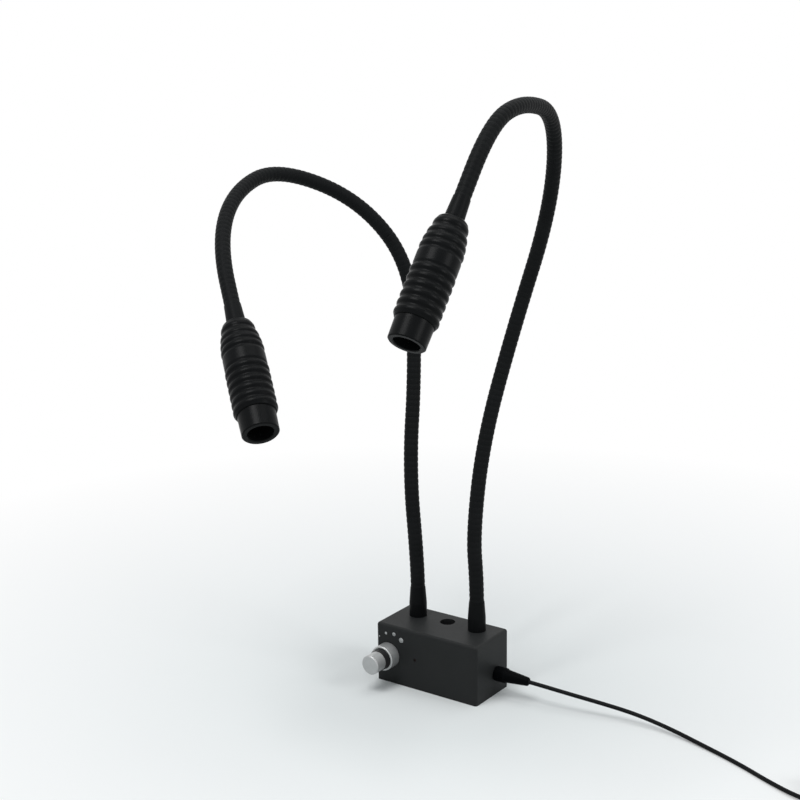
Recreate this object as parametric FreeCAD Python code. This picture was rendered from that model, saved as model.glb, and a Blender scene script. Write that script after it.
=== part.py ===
import FreeCAD, Part
import math
import os

# Twin gooseneck spot illuminator. Millimetres, +Z up, +X to the right along the
# front of the base box, the control knob faces -Y. The origin is the centre of
# the underside of the base box.

V = FreeCAD.Vector
os.makedirs("parts", exist_ok=True)

# Base box
BOX_W = 77.6
BOX_D = 37.8
BOX_H = 40.1
WALL = 4.0
EDGE_R = 1.8
PLATE_T = 3.7
PLATE_GAP = 0.15
CORNER_BLOCK = 6.5
CORNER_BLOCK_H = 5.0
PLATE_SCREW_R = 1.5
PLATE_SCREW_HEAD_R = 2.8
PLATE_SCREW_L = 7.0
FIT = 0.05

FRONT_Y = -BOX_D / 2
BACK_Y = BOX_D / 2
INNER_FRONT_Y = FRONT_Y + WALL
INNER_BACK_Y = BACK_Y - WALL
INNER_X = BOX_W / 2 - WALL
INNER_TOP = BOX_H - WALL

# Through bolt hole in the middle of the box
BOLT_FROM_BACK = 12.2
BOLT_Y = BACK_Y - BOLT_FROM_BACK
BOLT_R = 2.75
BOLT_HEAD_R = 5.0
BOLT_HEAD_DEPTH = 5.0
PILLAR_R = 6.5

# Supply socket on the right wall and the plug in it
SOCKET_FROM_BACK = 14.2
SOCKET_Y = BACK_Y - SOCKET_FROM_BACK
SOCKET_Z = 14.4
SOCKET_BUSH_R = 4.0
SOCKET_BORE_R = 2.85
SOCKET_BORE_FLOOR = 2.0
SOCKET_PIN_R = 1.0
SOCKET_PIN_ROOT = 1.0
SOCKET_BODY = 9.4
SOCKET_BODY_L = 12.0
SOCKET_NUT_AF = 11.0
SOCKET_NUT_H = 2.0
PLUG_BARREL_R = 2.75
PLUG_BARREL_L = 9.5
PLUG_BORE_R = 1.1
PLUG_BORE_FLOOR = 0.5
BOOT_R = 4.9
BOOT_GRIP_L = 7.5
BOOT_END_R = 2.8
BOOT_L = 24.2
BOOT_EDGE = 0.6
BOOT_STEP = 0.8

# Knob and rotary control
KNOB_INSET = 9.5
KNOB_X = KNOB_INSET - BOX_W / 2
KNOB_Z = 19.3
BEZEL_R = 8.3
BEZEL_L = 8.2
BEZEL_EDGE = 0.5
BEZEL_BORE_R = 7.15
BEZEL_FLOOR = 1.6
KNOB_SKIRT_R = 6.8
KNOB_SKIRT_END = 12.4
KNOB_SKIRT_EDGE = 0.4
KNOB_CAP_R = 6.4
KNOB_CAP_END = 21.0
KNOB_CAP_CHAMFER = 0.6
CAP_WALL = 1.0
SHAFT_R = 3.0
SHAFT_END = 17.0
SHAFT_FLAT = 1.0
SHAFT_RUN = 0.05
SHAFT_ROOM_FLOOR = 2.0
SHAFT_ROOT = 3.0
BUSH_R = 3.8
BUSH_END = 6.6
CONTROL_BODY_W = 9.0
CONTROL_BODY_H = 11.0
CONTROL_BODY_L = 7.5
CONTROL_NUT_AF = 11.0
CONTROL_NUT_H = 2.0
KNOB_RUN_GAP = 0.6
KNOB_BUSH_GAP = 1.0
SET_SCREW_R = 1.2
SET_SCREW_Y = 10.4

# Circuit board behind the front wall, between the control and the right wall
BOARD_T = 1.6
BOARD_CONTROL_GAP = 6.8
BOARD_SIDE_GAP = 1.5
BOARD_TOP_GAP = 1.5
BOARD_BOTTOM_GAP = 1.1
BOARD_X0 = KNOB_X + CONTROL_BODY_W / 2 + BOARD_CONTROL_GAP
BOARD_X1 = INNER_X - BOARD_SIDE_GAP
BOARD_Z0 = PLATE_T + CORNER_BLOCK_H + BOARD_BOTTOM_GAP
BOARD_Z1 = INNER_TOP - BOARD_TOP_GAP
BOARD_STAND = 2.4
BOARD_FRONT_Y = INNER_FRONT_Y + BOARD_STAND
BOARD_BACK_Y = BOARD_FRONT_Y + BOARD_T
STAND_R = 2.6
BOARD_SCREW_R = 1.0
BOARD_SCREW_HEAD_R = 1.9
BOARD_SCREW_HEAD_H = 1.2
BOARD_SCREW_TIP_GAP = 0.2
BOARD_SCREW_INSET = 3.0
BOARD_SCREW_AT = (
    (BOARD_X0 + BOARD_SCREW_INSET, BOARD_Z1 - BOARD_SCREW_INSET),
    (BOARD_X1 - BOARD_SCREW_INSET, BOARD_Z1 - BOARD_SCREW_INSET),
    (BOARD_X1 - BOARD_SCREW_INSET, BOARD_Z0 + BOARD_SCREW_INSET),
)

# What stands on the board, each beside the one before it
CONNECTOR_INSET = 9.4
CONNECTOR_PITCH = 11.6
CONNECTOR_X = (BOARD_X0 + CONNECTOR_INSET, BOARD_X0 + CONNECTOR_INSET + CONNECTOR_PITCH)
CONNECTOR_W = 8.0
CONNECTOR_D = 5.4
CONNECTOR_H = 5.6
CONNECTOR_TOP_GAP = 1.0
CONNECTOR_Z1 = BOARD_Z1 - CONNECTOR_TOP_GAP
CONNECTOR_Z0 = CONNECTOR_Z1 - CONNECTOR_H
CONNECTOR_WALL = 1.0
CONNECTOR_FLOOR = 1.2
CAPACITOR_R = 2.5
CAPACITOR_H = 5.4
CAPACITOR_PITCH = 6.6
CAPACITOR_GAP = 0.5
CAPACITOR_FIRST_X = CONNECTOR_X[1] + CONNECTOR_W / 2 + CAPACITOR_GAP + CAPACITOR_R
CAPACITOR_X = (CAPACITOR_FIRST_X, CAPACITOR_FIRST_X + CAPACITOR_PITCH)
CAPACITOR_LIFT = 0.2
CAPACITOR_Z = CONNECTOR_Z0 + CAPACITOR_LIFT
DRIVER_COIL_H = 4.6
DRIVER_CORE_R = 2.6
DRIVER_FLANGE_R = 4.0
DRIVER_FLANGE_T = 1.0
DRIVER_COIL_GAP = 0.7
DRIVER_COIL_SHIFT = 1.4
DRIVER_COIL_X = CAPACITOR_X[1] + DRIVER_COIL_SHIFT
DRIVER_COIL_Z = CAPACITOR_Z - CAPACITOR_R - DRIVER_COIL_GAP - DRIVER_FLANGE_R
LED_FROM_KNOB = 20.7
LED_X = KNOB_X + LED_FROM_KNOB
LED_Z = 20.3
LED_R = 1.0
LED_BODY_R = 1.6
LED_BODY_L = 1.9
LED_SUNK = 0.4

# Goosenecks: the hose, its ends and its routes
HOSE_R = 4.75
HOSE_BORE_R = 2.6
BEND_SHARE = 0.45
CUP_GAP = 0.3
ARM_INSET = 15.8
ARM_FROM_BACK = 12.7
ARM_X = BOX_W / 2 - ARM_INSET
ARM_Y = BACK_Y - ARM_FROM_BACK
STUD_R = 4.0
STUD_DROP = 10.6
FERRULE_WALL = 0.55
FERRULE_R = HOSE_R + FERRULE_WALL
FERRULE_L = 8.0
FERRULE_FLOOR = 1.5
FERRULE_NUT_AF = 13.0
FERRULE_NUT_H = 5.0
SLEEVE_WALL = 0.45
SLEEVE_TOP_WALL = 0.2
SLEEVE_FOOT_R = FERRULE_R + FIT + SLEEVE_WALL
SLEEVE_TOP_R = HOSE_R + FIT + SLEEVE_TOP_WALL
SLEEVE_FOOT_L = 9.0
SLEEVE_L = 19.5

LEFT_ROUTE = (
    (-ARM_X, ARM_Y, BOX_H), (-ARM_X, ARM_Y, 75), (-38, 19.2, 135), (-48, 41.2, 196),
    (-60, 56.2, 262), (-89, 38.2, 307), (-119, -9.8, 331), (-111.4, -60.5, 321.4),
    (-89.2, -100.3, 296.9), (-52.9, -128.1, 256.7),
)
RIGHT_ROUTE = (
    (ARM_X, ARM_Y, BOX_H), (ARM_X, ARM_Y, 73), (17.3, 10.8, 103), (12.5, 30.6, 160),
    (18.6, 56.6, 228), (40.6, 66.7, 309), (60.8, 35.7, 369), (70.1, -19, 379.2),
    (73.5, -57.8, 369.5), (75.4, -97, 322.1),
)
# A hose flexes at the middle of these runs of its route
LEFT_BENDS = (1, 3, 5, 8)
RIGHT_BENDS = (2, 4, 6, 8)
HOSE_NAMES = ("hose_base", "hose_lower", "hose_upper", "hose_arch", "hose_neck")

# Ballast, between the board, the left wall, the socket and the studs above it
BALLAST_GAP = 0.4
BALLAST_SIDE_GAP = 1.0
BALLAST_TOP_GAP = 2.6
BALLAST_X0 = BALLAST_SIDE_GAP - INNER_X
BALLAST_X1 = INNER_X - SOCKET_NUT_H - SOCKET_BODY_L - BALLAST_SIDE_GAP
BALLAST_FRONT_Y = BOARD_BACK_Y + CAPACITOR_H + BALLAST_GAP
BALLAST_TOP = BOX_H - STUD_DROP - BALLAST_TOP_GAP
BALLAST_SCREW_R = 2.0
BALLAST_SCREW_HEAD_R = 3.6
BALLAST_SCREW_L = 12.0
BALLAST_SCREW_INSETS = (16.8, 7.8)
BALLAST_SCREW_BACK = 5.3
BALLAST_SCREW_X = (BALLAST_X0 + BALLAST_SCREW_INSETS[0], BALLAST_X1 - BALLAST_SCREW_INSETS[1])
BALLAST_SCREW_Y = BALLAST_FRONT_Y + BALLAST_SCREW_BACK

# Lamp head, measured along its own axis from the neck
HEAD_L = 75.0
GRIP_L = 62.2
GRIP_WALL_R = 9.5
GRIP_TOP_R = 7.3
GRIP_TOP_EDGE = 0.9
GRIP_R = 11.9
GRIP_END_EDGE = 0.4
RIB_R = 12.65
RIB_W = 4.4
RIB_PITCH = 5.05
RIB_COUNT = 6
LAST_RIB_INSET = 2.8
RIBS = tuple(GRIP_L - LAST_RIB_INSET - RIB_PITCH * k for k in reversed(range(RIB_COUNT)))
BAND_R = 12.35
BAND_START = 23.3
BAND_SLOPE = 1.6
SHOULDER_R = 8.5
SHOULDER_RIBS = ((4.4, 9.95), (10.0, 11.2), (14.8, 12.0), (19.4, 12.45))
SHOULDER_VALLEYS = ((6.7, 9.75), (11.9, 10.95), (16.6, 11.65), (22.0, 11.8))
NOSE_R = 10.9
NOSE_TIP_R = 10.65
NOSE_EDGE = 0.6
NOSE_SHOULDER_L = 1.0
NOSE_BORE_R = 7.5
NOSE_BORE_EDGE = 0.5
NOSE_THREAD_R = GRIP_WALL_R - FIT
LENS_R = 8.35
NOSE_MOUTH_L = 11.0
LENS_SEAT = HEAD_L - NOSE_MOUTH_L
LENS_T = 2.6
LENS_DOME = 2.0
EMITTER_W = 3.6
EMITTER_T = 1.4
EMITTER_DOME_R = 1.5
LED_NOTCH_AT = 7.1
LED_NOTCH_R = 1.2
LED_PLATE_T = 1.6
SINK_L = 11.0
SINK_END = 48.0
SINK_GROOVES = 2
SINK_GROOVE_W = 1.6
SINK_GROOVE_DEPTH = 3.0
SINK_BORE_R = 1.6
NECK_SEAT = 3.0
NECK_SEAT_END = 11.0
GRIP_CAVITY = 16.0
NECK_SLEEVE_TIP_R = SLEEVE_TOP_R
NECK_SLEEVE_R = 5.6
NECK_SLEEVE_TAPER = 2.0
NECK_SLEEVE_L = 14.0
NECK_FERRULE_R = 6.6
NECK_FERRULE_L = 7.0
HOSE_IN_HEAD = 9.0

# Lead and plug-in adapter
CORD_R = 1.3
CORD_ROUTE = (
    (BOX_W / 2 + BOOT_L, SOCKET_Y, SOCKET_Z), (72, SOCKET_Y, SOCKET_Z), (92, 7.8, 10.4), (110, 11.2, 6.2),
    (132, 14.7, 2.9), (156, 14.2, 1.3), (182, 9.2, 1.3), (208, 0.7, 1.3),
    (232, -10.3, 1.3), (254, -19.5, 2.3), (274.4, -19.5, 2.3),
)
COIL_X = 277.0
COIL_Y = 1.2
COIL_OUTER_R = 20.7
COIL_TURNS = 13.25
COIL_LAYERS = 4
COIL_STEP = 3.6
COIL_LIFT = 3.2
CLIMB_TURNS = 0.5
COIL_END_L = 2.6
TIE_W = 5.0
TIE_T = 0.9
TIE_GAP = 0.1
COIL_FLOOR_Z = TIE_T + TIE_GAP + CORD_R
LAYER_TURNS = (COIL_TURNS - CLIMB_TURNS * (COIL_LAYERS - 1)) / COIL_LAYERS
COIL_INNER_R = COIL_OUTER_R - COIL_STEP * LAYER_TURNS
TAIL_ROUTE = ((297.7, 3.8, 11.9), (297.7, 13.2, 11.9), (297.7, 21.2, 14.0), (297.7, 30.2, 14.0))
RELIEF_R = 3.6
RELIEF_TIP_R = 2.3
RELIEF_L = 11.0
ADAPTER_W = 40.0
ADAPTER_L = 58.0
ADAPTER_H = 28.0
ADAPTER_Y0 = TAIL_ROUTE[-1][1] + RELIEF_L
ADAPTER_COVER_T = 5.0
ADAPTER_EDGE_R = 3.0
BLADE_PITCH = 12.7
BLADE_W = 6.35
BLADE_T = 1.5
BLADE_L = 17.0


def export(name, shape):
    shape.exportStep("parts/" + name + ".step")
    print(name, "solids", len(shape.Solids), "volume", round(shape.Volume, 1), shape.isValid())


def box(x0, x1, y0, y1, z0, z1):
    return Part.makeBox(x1 - x0, y1 - y0, z1 - z0, V(x0, y0, z0))


def rod(radius, start, direction, length):
    return Part.makeCylinder(radius, length, V(*start), V(*direction))


def revolved(points):
    """Solid of revolution about Z from a closed outline of (radius, height) points."""
    outline = [V(r, 0, z) for r, z in points]
    face = Part.Face(Part.makePolygon(outline + outline[:1]))
    return face.revolve(V(0, 0, 0), V(0, 0, 1), 360)


class Outline:
    """Closed outline of lines and arcs through (radius, height) points, turned about Z."""

    def __init__(self, start):
        self.points = [start]
        self.edges = []

    def at(self, point):
        return V(point[0], 0, point[1])

    def line(self, end):
        self.edges.append(Part.LineSegment(self.at(self.points[-1]), self.at(end)).toShape())
        self.points.append(end)

    def arc(self, through, end):
        self.edges.append(Part.Arc(self.at(self.points[-1]), self.at(through), self.at(end)).toShape())
        self.points.append(end)

    def turned(self):
        self.line(self.points[0])
        return Part.Face(Part.Wire(self.edges)).revolve(V(0, 0, 0), V(0, 0, 1), 360)


def hexagon(across_flats, height):
    corner = across_flats / math.sqrt(3)
    points = [V(corner * math.cos(math.radians(60 * k)), corner * math.sin(math.radians(60 * k)), 0)
              for k in range(6)]
    return Part.Face(Part.makePolygon(points + points[:1])).extrude(V(0, 0, height))


def aimed(shape, start, direction):
    """Copy of a shape drawn along +Z, moved so that its axis starts at start along direction."""
    copy = shape.copy()
    turn = FreeCAD.Rotation(V(0, 0, 1), V(*direction))
    copy.Placement = FreeCAD.Placement(V(*start), turn).multiply(shape.Placement)
    return copy


def fused(shapes):
    solid = shapes[0].multiFuse(shapes[1:]) if len(shapes) > 1 else shapes[0]
    return solid.removeSplitter()


def leg_arc(corner, toward_start, toward_end, reach):
    """Arc that is tangent to two equal legs from a corner, given by their directions."""
    half = toward_start.getAngle(toward_end) / 2
    bisector = toward_start + toward_end
    bisector.normalize()
    radius = reach * math.tan(half)
    centre = corner + bisector * (reach / math.cos(half))
    return {
        "start": corner + toward_start * reach,
        "middle": centre - bisector * radius,
        "end": corner + toward_end * reach,
        "radius": radius,
    }


def rounded_route(points, share=BEND_SHARE):
    """Straight runs joined by tangent arcs, each as large as its two runs allow."""
    points = [V(*p) for p in points]
    runs = [points[k + 1] - points[k] for k in range(len(points) - 1)]
    corners = []
    for k in range(1, len(points) - 1):
        back = -1 * runs[k - 1]
        ahead = V(runs[k])
        reach = share * min(back.Length, ahead.Length)
        back.normalize()
        ahead.normalize()
        corners.append(leg_arc(points[k], back, ahead, reach))
    return points, corners


def arc_edge(arc):
    return Part.Arc(arc["start"], arc["middle"], arc["end"]).toShape()


def biarc(start, along, end, onward):
    """Two tangent arcs that leave start in one direction and reach end in another."""
    chord = end - start
    lean = chord.dot(along + onward)
    spread = 2 * (1 - along.dot(onward))
    reach = (math.sqrt(lean ** 2 + spread * chord.dot(chord)) - lean) / spread
    first = start + along * reach
    second = end - onward * reach
    across = second - first
    across.normalize()
    return [leg_arc(first, -1 * along, across, reach), leg_arc(second, -1 * across, onward, reach)]


def route_wire(points, corners, first=0, last=None, first_at=0.0, last_at=1.0):
    """Wire from a share of run first to a share of run last."""
    last = len(points) - 2 if last is None else last
    at = points[first] + (points[first + 1] - points[first]) * first_at
    edges = []
    for k in range(first, last):
        corner = corners[k]
        edges.append(Part.LineSegment(at, corner["start"]).toShape())
        edges.append(arc_edge(corner))
        at = corner["end"]
    end = points[last] + (points[last + 1] - points[last]) * last_at
    edges.append(Part.LineSegment(at, end).toShape())
    return Part.Wire(edges)


def tube(wire, radius):
    start = wire.OrderedEdges[0]
    at = start.valueAt(start.FirstParameter)
    along = start.tangentAt(start.FirstParameter)
    ring = Part.Wire(Part.makeCircle(radius, at, along))
    return wire.makePipeShell([ring], True, False)


def housing():
    shell = box(-BOX_W / 2, BOX_W / 2, FRONT_Y, BACK_Y, 0, BOX_H)
    soft = [e for e in shell.Edges if e.BoundBox.ZMax > BOX_H / 2]
    shell = shell.makeFillet(EDGE_R, soft)
    shell = shell.cut(box(-INNER_X, INNER_X, INNER_FRONT_Y, INNER_BACK_Y, -1, INNER_TOP))
    pillar = rod(PILLAR_R, (0, BOLT_Y, PLATE_T), (0, 0, 1), BOX_H - PLATE_T - EDGE_R)
    room = box(-INNER_X, INNER_X, INNER_FRONT_Y, INNER_BACK_Y, PLATE_T, INNER_TOP + 1)
    added = [pillar.common(room)]
    for side_x in (-1, 1):
        for side_y in (-1, 1):
            x = side_x * (INNER_X - CORNER_BLOCK / 2)
            y = side_y * (INNER_BACK_Y - CORNER_BLOCK / 2)
            half = CORNER_BLOCK / 2
            added.append(box(x - half, x + half, y - half, y + half, PLATE_T, PLATE_T + CORNER_BLOCK_H))
    for x, z in BOARD_SCREW_AT:
        added.append(rod(STAND_R, (x, INNER_FRONT_Y - 1, z), (0, 1, 0), BOARD_STAND + 1))
    shell = shell.fuse(added).removeSplitter()
    cuts = [
        rod(BOLT_R, (0, BOLT_Y, -1), (0, 0, 1), BOX_H + 2),
        rod(BOLT_HEAD_R, (0, BOLT_Y, BOX_H - BOLT_HEAD_DEPTH), (0, 0, 1), BOLT_HEAD_DEPTH + 1),
        rod(LED_R + FIT, (LED_X, FRONT_Y - 1, LED_Z), (0, 1, 0), WALL + 2),
        rod(BUSH_R + FIT, (KNOB_X, FRONT_Y - 1, KNOB_Z), (0, 1, 0), WALL + 2),
        rod(SOCKET_BUSH_R + FIT, (INNER_X - 1, SOCKET_Y, SOCKET_Z), (1, 0, 0), WALL + 2),
    ]
    for x in (-ARM_X, ARM_X):
        cuts.append(rod(STUD_R + FIT, (x, ARM_Y, INNER_TOP - 1), (0, 0, 1), WALL + 2))
    for x, y in plate_screw_places():
        cuts.append(rod(PLATE_SCREW_R, (x, y, PLATE_T - 1), (0, 0, 1), CORNER_BLOCK_H))
    for x, z in BOARD_SCREW_AT:
        cuts.append(rod(BOARD_SCREW_R, (x, INNER_FRONT_Y, z), (0, 1, 0), BOARD_STAND + 1))
    return shell.cut(cuts)


def plate_screw_places():
    x = INNER_X - CORNER_BLOCK / 2
    y = INNER_BACK_Y - CORNER_BLOCK / 2
    return [(-x, -y), (x, -y), (x, y), (-x, y)]


def countersunk(radius, head_radius, length):
    """Countersunk screw along +Z with its head face at height zero."""
    head = head_radius - radius
    return revolved([(0, 0), (head_radius, 0), (radius, head), (radius, length), (0, length)])


def base_plate():
    x = INNER_X - PLATE_GAP
    y = INNER_BACK_Y - PLATE_GAP
    plate = box(-x, x, -y, y, 0, PLATE_T)
    cuts = [rod(BOLT_R, (0, BOLT_Y, -1), (0, 0, 1), PLATE_T + 2)]
    for x, y in plate_screw_places():
        cuts.append(countersunk(PLATE_SCREW_R, PLATE_SCREW_HEAD_R, PLATE_T + 1).translated(V(x, y, 0)))
    for x in BALLAST_SCREW_X:
        hole = countersunk(BALLAST_SCREW_R, BALLAST_SCREW_HEAD_R, PLATE_T + 1)
        cuts.append(hole.translated(V(x, BALLAST_SCREW_Y, 0)))
    return plate.cut(cuts)


def base_screws():
    return Part.makeCompound([
        countersunk(PLATE_SCREW_R, PLATE_SCREW_HEAD_R, PLATE_SCREW_L).translated(V(x, y, 0))
        for x, y in plate_screw_places()])


def ballast_screws():
    screw = countersunk(BALLAST_SCREW_R, BALLAST_SCREW_HEAD_R, BALLAST_SCREW_L)
    return Part.makeCompound([screw.translated(V(x, BALLAST_SCREW_Y, 0)) for x in BALLAST_SCREW_X])


def ballast_block():
    back_y = INNER_BACK_Y - BALLAST_GAP
    block = box(BALLAST_X0, BALLAST_X1, BALLAST_FRONT_Y, back_y, PLATE_T, BALLAST_TOP)
    block_x = -INNER_X + CORNER_BLOCK + BALLAST_GAP
    block_y = INNER_BACK_Y - CORNER_BLOCK - BALLAST_GAP
    block_top = PLATE_T + CORNER_BLOCK_H + BALLAST_GAP
    cuts = [
        rod(PILLAR_R + BALLAST_GAP, (0, BOLT_Y, 0), (0, 0, 1), BOX_H),
        box(-BOX_W, block_x, block_y, BOX_D, 0, block_top),
    ]
    for x in BALLAST_SCREW_X:
        cuts.append(rod(BALLAST_SCREW_R, (x, BALLAST_SCREW_Y, 0), (0, 0, 1), BALLAST_SCREW_L))
    return block.cut(cuts)


def control_board():
    board = box(BOARD_X0, BOARD_X1, BOARD_FRONT_Y, BOARD_BACK_Y, BOARD_Z0, BOARD_Z1)
    holes = [rod(BOARD_SCREW_R, (x, BOARD_FRONT_Y - 1, z), (0, 1, 0), BOARD_T + 2)
             for x, z in BOARD_SCREW_AT]
    return board.cut(holes)


def board_screws():
    screws = []
    for x, z in BOARD_SCREW_AT:
        head = rod(BOARD_SCREW_HEAD_R, (x, BOARD_BACK_Y, z), (0, 1, 0), BOARD_SCREW_HEAD_H)
        tip_y = INNER_FRONT_Y + BOARD_SCREW_TIP_GAP
        shank = rod(BOARD_SCREW_R, (x, tip_y, z), (0, 1, 0), BOARD_BACK_Y - tip_y)
        screws.append(head.fuse(shank).removeSplitter())
    return Part.makeCompound(screws)


def driver_coil():
    """Bobbin with a flange at each end, standing on the board."""
    x, z = DRIVER_COIL_X, DRIVER_COIL_Z
    upper_y = BOARD_BACK_Y + DRIVER_COIL_H - DRIVER_FLANGE_T
    return fused([
        rod(DRIVER_FLANGE_R, (x, BOARD_BACK_Y, z), (0, 1, 0), DRIVER_FLANGE_T),
        rod(DRIVER_CORE_R, (x, BOARD_BACK_Y, z), (0, 1, 0), DRIVER_COIL_H),
        rod(DRIVER_FLANGE_R, (x, upper_y, z), (0, 1, 0), DRIVER_FLANGE_T)])


def board_capacitors():
    return Part.makeCompound([
        rod(CAPACITOR_R, (x, BOARD_BACK_Y, CAPACITOR_Z), (0, 1, 0), CAPACITOR_H) for x in CAPACITOR_X])


def arm_connectors():
    parts = []
    half = CONNECTOR_W / 2
    room = half - CONNECTOR_WALL
    for x in CONNECTOR_X:
        shell = box(x - half, x + half, BOARD_BACK_Y, BOARD_BACK_Y + CONNECTOR_D, CONNECTOR_Z0, CONNECTOR_Z1)
        socket = box(x - room, x + room, BOARD_BACK_Y + CONNECTOR_FLOOR, BOARD_BACK_Y + CONNECTOR_D + 1,
                     CONNECTOR_Z0 + CONNECTOR_WALL, CONNECTOR_Z1 - CONNECTOR_WALL)
        parts.append(shell.cut(socket))
    return Part.makeCompound(parts)


def status_led():
    body = rod(LED_BODY_R, (LED_X, BOARD_FRONT_Y, LED_Z), (0, -1, 0), LED_BODY_L)
    tip = rod(LED_R, (LED_X, BOARD_FRONT_Y, LED_Z), (0, -1, 0), BOARD_FRONT_Y - FRONT_Y - LED_SUNK)
    return fused([body, tip])


def power_socket():
    nut_x = INNER_X - SOCKET_NUT_H
    half = SOCKET_BODY / 2
    back_x = nut_x - SOCKET_BODY_L
    body = box(back_x, nut_x, SOCKET_Y - half, SOCKET_Y + half, SOCKET_Z - half, SOCKET_Z + half)
    bush = rod(SOCKET_BUSH_R, (nut_x - 1, SOCKET_Y, SOCKET_Z), (1, 0, 0), BOX_W / 2 - nut_x + 1)
    bore = rod(SOCKET_BORE_R, (back_x + SOCKET_BORE_FLOOR, SOCKET_Y, SOCKET_Z), (1, 0, 0), BOX_W)
    pin = rod(SOCKET_PIN_R, (back_x + SOCKET_PIN_ROOT, SOCKET_Y, SOCKET_Z), (1, 0, 0), SOCKET_BODY_L)
    return fused([body.fuse(bush).cut(bore), pin])


def socket_nut():
    nut = hexagon(SOCKET_NUT_AF, SOCKET_NUT_H).cut(Part.makeCylinder(SOCKET_BUSH_R + FIT, SOCKET_NUT_H))
    return aimed(nut, (INNER_X - SOCKET_NUT_H, SOCKET_Y, SOCKET_Z), (1, 0, 0))


def toward_front(shape, depth=0.0):
    """Shape drawn along +Z, set on the knob axis with height zero depth behind the front face."""
    return aimed(shape, (KNOB_X, FRONT_Y + depth, KNOB_Z), (0, -1, 0))


def brightness_control():
    half = CONTROL_BODY_W / 2
    body = box(-half, half, -half, CONTROL_BODY_H - half, -WALL - CONTROL_BODY_L, -WALL)
    bush = Part.makeCylinder(BUSH_R, WALL + BUSH_END, V(0, 0, -WALL))
    floor = SHAFT_ROOM_FLOOR - WALL - CONTROL_BODY_L
    shaft_room = Part.makeCylinder(SHAFT_R + SHAFT_RUN, BOX_D, V(0, 0, floor))
    return toward_front(body.fuse(bush).removeSplitter().cut(shaft_room))


def control_nut():
    nut = hexagon(CONTROL_NUT_AF, CONTROL_NUT_H).cut(Part.makeCylinder(BUSH_R + FIT, CONTROL_NUT_H))
    return toward_front(nut.translated(V(0, 0, BEZEL_FLOOR)))


def knob_bezel():
    return toward_front(revolved([
        (BUSH_R + FIT, 0), (BEZEL_R, 0), (BEZEL_R, BEZEL_L - BEZEL_EDGE), (BEZEL_R - BEZEL_EDGE, BEZEL_L),
        (BEZEL_BORE_R, BEZEL_L), (BEZEL_BORE_R, BEZEL_FLOOR), (BUSH_R + FIT, BEZEL_FLOOR)]))


def knob_shaft():
    root = SHAFT_ROOT - WALL - CONTROL_BODY_L
    shaft = Part.makeCylinder(SHAFT_R, SHAFT_END - root, V(0, 0, root))
    flat_at = V(-SHAFT_R, SHAFT_R - SHAFT_FLAT, BUSH_END + KNOB_BUSH_GAP)
    flat = Part.makeBox(2 * SHAFT_R, SHAFT_R, SHAFT_END, flat_at)
    return toward_front(shaft.cut(flat))


def knob_skirt():
    """Black core of the knob: a cup over the bush, carried on the shaft under the metal cap."""
    seat_r = KNOB_CAP_R - CAP_WALL
    floor = BUSH_END + KNOB_RUN_GAP
    back = BEZEL_FLOOR + CONTROL_NUT_H + KNOB_RUN_GAP
    hollow_r = BUSH_R + KNOB_BUSH_GAP
    body = revolved([
        (SHAFT_R + FIT, floor), (SHAFT_R + FIT, SHAFT_END + KNOB_RUN_GAP), (0, SHAFT_END + KNOB_RUN_GAP),
        (0, KNOB_CAP_END - CAP_WALL), (seat_r, KNOB_CAP_END - CAP_WALL), (seat_r, KNOB_SKIRT_END),
        (KNOB_SKIRT_R - KNOB_SKIRT_EDGE, KNOB_SKIRT_END), (KNOB_SKIRT_R, KNOB_SKIRT_END - KNOB_SKIRT_EDGE),
        (KNOB_SKIRT_R, back), (hollow_r, back), (hollow_r, floor)])
    hole = rod(SET_SCREW_R, (0, 0, SET_SCREW_Y), (0, -1, 0), BOX_D)
    return toward_front(body.cut(hole))


def knob_cap():
    inner_r = KNOB_CAP_R - CAP_WALL
    return toward_front(revolved([
        (inner_r, KNOB_SKIRT_END), (KNOB_CAP_R, KNOB_SKIRT_END),
        (KNOB_CAP_R, KNOB_CAP_END - KNOB_CAP_CHAMFER), (KNOB_CAP_R - KNOB_CAP_CHAMFER, KNOB_CAP_END),
        (0, KNOB_CAP_END), (0, KNOB_CAP_END - CAP_WALL),
        (inner_r, KNOB_CAP_END - CAP_WALL)]))


def knob_set_screw():
    start = SHAFT_R + FIT
    screw = rod(SET_SCREW_R, (0, -start, SET_SCREW_Y), (0, -1, 0), KNOB_SKIRT_R - KNOB_RUN_GAP - start)
    return toward_front(screw)


def arm_ferrule(x):
    """Threaded stud with a cup on top that holds the end of the hose."""
    cup_top = FERRULE_L
    profile = [
        (HOSE_BORE_R, -STUD_DROP), (STUD_R, -STUD_DROP), (STUD_R, 0), (FERRULE_R, 0), (FERRULE_R, cup_top),
        (HOSE_R, cup_top), (HOSE_R, FERRULE_FLOOR), (HOSE_BORE_R, FERRULE_FLOOR)]
    return revolved(profile).translated(V(x, ARM_Y, BOX_H))


def arm_nut(x):
    nut = hexagon(FERRULE_NUT_AF, FERRULE_NUT_H).cut(Part.makeCylinder(STUD_R + FIT, FERRULE_NUT_H))
    return nut.translated(V(x, ARM_Y, INNER_TOP - FERRULE_NUT_H))


def base_sleeve(x):
    inner = FERRULE_R + FIT
    profile = [
        (inner, 0), (SLEEVE_FOOT_R, 0), (SLEEVE_FOOT_R, SLEEVE_FOOT_L), (SLEEVE_TOP_R, SLEEVE_L),
        (HOSE_R + FIT, SLEEVE_L), (HOSE_R + FIT, FERRULE_L + FIT), (inner, FERRULE_L + FIT)]
    return revolved(profile).translated(V(x, ARM_Y, BOX_H))


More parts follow.
